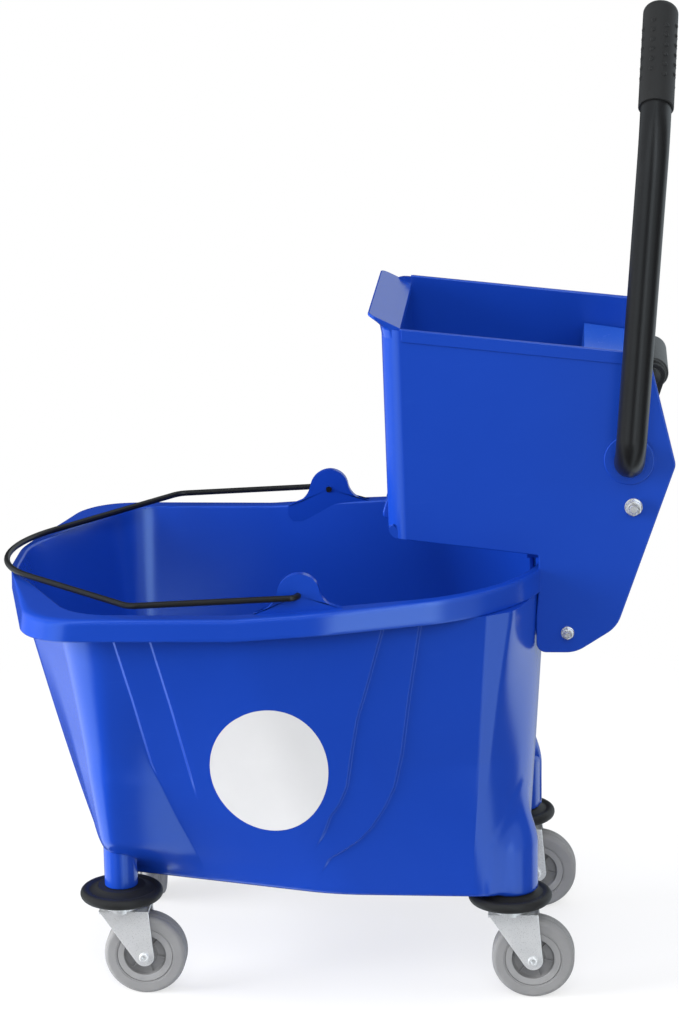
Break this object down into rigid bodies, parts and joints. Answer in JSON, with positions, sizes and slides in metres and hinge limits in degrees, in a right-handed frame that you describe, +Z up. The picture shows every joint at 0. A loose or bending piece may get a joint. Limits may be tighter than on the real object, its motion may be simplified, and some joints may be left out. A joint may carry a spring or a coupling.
{
  "type": "mop bucket with side press wringer",
  "caption": "Blue plastic mop bucket on swivel casters with a wire bail and a lift-off side press wringer, whose bent tube handle drives a hinged press plate by shaft, arms and roller",
  "frame": {"origin": "on the floor under the middle of the whole object's box", "axes": "+X towards the wringer end, +Y away from the handle side, +Z up"},
  "size_m": [0.6266, 0.4124, 0.9093],
  "materials": {
    "blue_plastic": "moulded blue polypropylene, satin gloss",
    "black_rubber": "black rubber",
    "black_steel": "black powder coat on steel",
    "zinc_plate": "bright zinc plate on steel",
    "grey_tread": "grey non-marking rubber",
    "hub_plastic": "moulded grey nylon",
    "roller_plastic": "turned grey nylon",
    "bush_bronze": "sintered bronze"
  },
  "bodies": {
    "bucket": {"bucket": "blue_plastic", "bumper_disc_front_left": "black_rubber", "bumper_disc_front_right": "black_rubber", "bumper_disc_rear_left": "black_rubber", "bumper_disc_rear_right": "black_rubber", "caster_stem_front_left": "zinc_plate", "caster_stem_front_right": "zinc_plate", "caster_stem_rear_left": "zinc_plate", "caster_stem_rear_right": "zinc_plate", "swivel_bearing_front_left": "zinc_plate", "swivel_bearing_front_right": "zinc_plate", "swivel_bearing_rear_left": "zinc_plate", "swivel_bearing_rear_right": "zinc_plate"},
    "bail": {"bail_handle": "black_steel"},
    "wringer": {"wringer_hopper": "blue_plastic", "hinge_rod": "zinc_plate", "upper_tie_rod": "zinc_plate", "upper_rod_nuts": "zinc_plate", "lower_tie_rod": "zinc_plate", "lower_rod_nuts": "zinc_plate", "shaft_bush_near": "bush_bronze", "shaft_bush_far": "bush_bronze"},
    "handle": {"handle_tube": "black_steel", "handle_grip": "black_rubber", "drive_shaft": "zinc_plate", "cam_arm_near": "black_steel", "cam_arm_far": "black_steel", "roller_pin": "zinc_plate", "shaft_clip": "zinc_plate"},
    "press_plate": {"press_plate": "blue_plastic"},
    "press_roller": {"press_roller": "roller_plastic"},
    "caster_front_left": {"caster_fork_front_left": "zinc_plate", "axle_bolt_front_left": "zinc_plate", "axle_nut_front_left": "zinc_plate"},
    "wheel_front_left": {"wheel_hub_front_left": "hub_plastic", "wheel_tyre_front_left": "grey_tread"},
    "caster_front_right": {"caster_fork_front_right": "zinc_plate", "axle_bolt_front_right": "zinc_plate", "axle_nut_front_right": "zinc_plate"},
    "wheel_front_right": {"wheel_hub_front_right": "hub_plastic", "wheel_tyre_front_right": "grey_tread"},
    "caster_rear_left": {"caster_fork_rear_left": "zinc_plate", "axle_bolt_rear_left": "zinc_plate", "axle_nut_rear_left": "zinc_plate"},
    "wheel_rear_left": {"wheel_hub_rear_left": "hub_plastic", "wheel_tyre_rear_left": "grey_tread"},
    "caster_rear_right": {"caster_fork_rear_right": "zinc_plate", "axle_bolt_rear_right": "zinc_plate", "axle_nut_rear_right": "zinc_plate"},
    "wheel_rear_right": {"wheel_hub_rear_right": "hub_plastic", "wheel_tyre_rear_right": "grey_tread"}
  },
  "joints": [
    {"name": "bail_swing", "type": "hinge", "parent": "bucket", "child": "bail", "pos_m": [-0.0203, 0, 0.40563], "axis": [0, 1, 0], "range_deg": [0, 95]},
    {"name": "wringer_lift", "type": "slide", "parent": "bucket", "child": "wringer", "axis": [0, 0, 1], "range_m": [0, 0.2]},
    {"name": "handle_swing", "type": "hinge", "parent": "wringer", "child": "handle", "pos_m": [0.2707, 0, 0.5072], "axis": [0, -1, 0], "range_deg": [0, 80]},
    {"name": "plate_swing", "type": "hinge", "parent": "wringer", "child": "press_plate", "pos_m": [0.2112, 0, 0.4307], "axis": [0, -1, 0], "range_deg": [0, 42]},
    {"name": "roller_spin", "type": "hinge", "parent": "handle", "child": "press_roller", "pos_m": [0.29233, 0, 0.57377], "axis": [0, 1, 0], "continuous": true},
    {"name": "swivel_front_left", "type": "hinge", "parent": "bucket", "child": "caster_front_left", "pos_m": [-0.1973, -0.112, 0.0832], "axis": [0, 0, 1], "continuous": true},
    {"name": "roll_front_left", "type": "hinge", "parent": "caster_front_left", "child": "wheel_front_left", "pos_m": [-0.1763, -0.112, 0.0381], "axis": [0, 1, 0], "continuous": true},
    {"name": "swivel_front_right", "type": "hinge", "parent": "bucket", "child": "caster_front_right", "pos_m": [-0.1973, 0.112, 0.0832], "axis": [0, 0, 1], "continuous": true},
    {"name": "roll_front_right", "type": "hinge", "parent": "caster_front_right", "child": "wheel_front_right", "pos_m": [-0.20273, 0.13228, 0.0381], "axis": [-0.9659, -0.2588, 0], "continuous": true},
    {"name": "swivel_rear_left", "type": "hinge", "parent": "bucket", "child": "caster_rear_left", "pos_m": [0.1627, -0.112, 0.0832], "axis": [0, 0, 1], "continuous": true},
    {"name": "roll_rear_left", "type": "hinge", "parent": "caster_rear_left", "child": "wheel_rear_left", "pos_m": [0.1837, -0.112, 0.0381], "axis": [0, 1, 0], "continuous": true},
    {"name": "swivel_rear_right", "type": "hinge", "parent": "bucket", "child": "caster_rear_right", "pos_m": [0.1627, 0.112, 0.0832], "axis": [0, 0, 1], "continuous": true},
    {"name": "roll_rear_right", "type": "hinge", "parent": "caster_rear_right", "child": "wheel_rear_right", "pos_m": [0.1837, 0.112, 0.0381], "axis": [0, 1, 0], "continuous": true}
  ],
  "couplings": [
    {"joint": "plate_swing", "follows": "handle_swing", "ratio": 0.525}
  ]
}
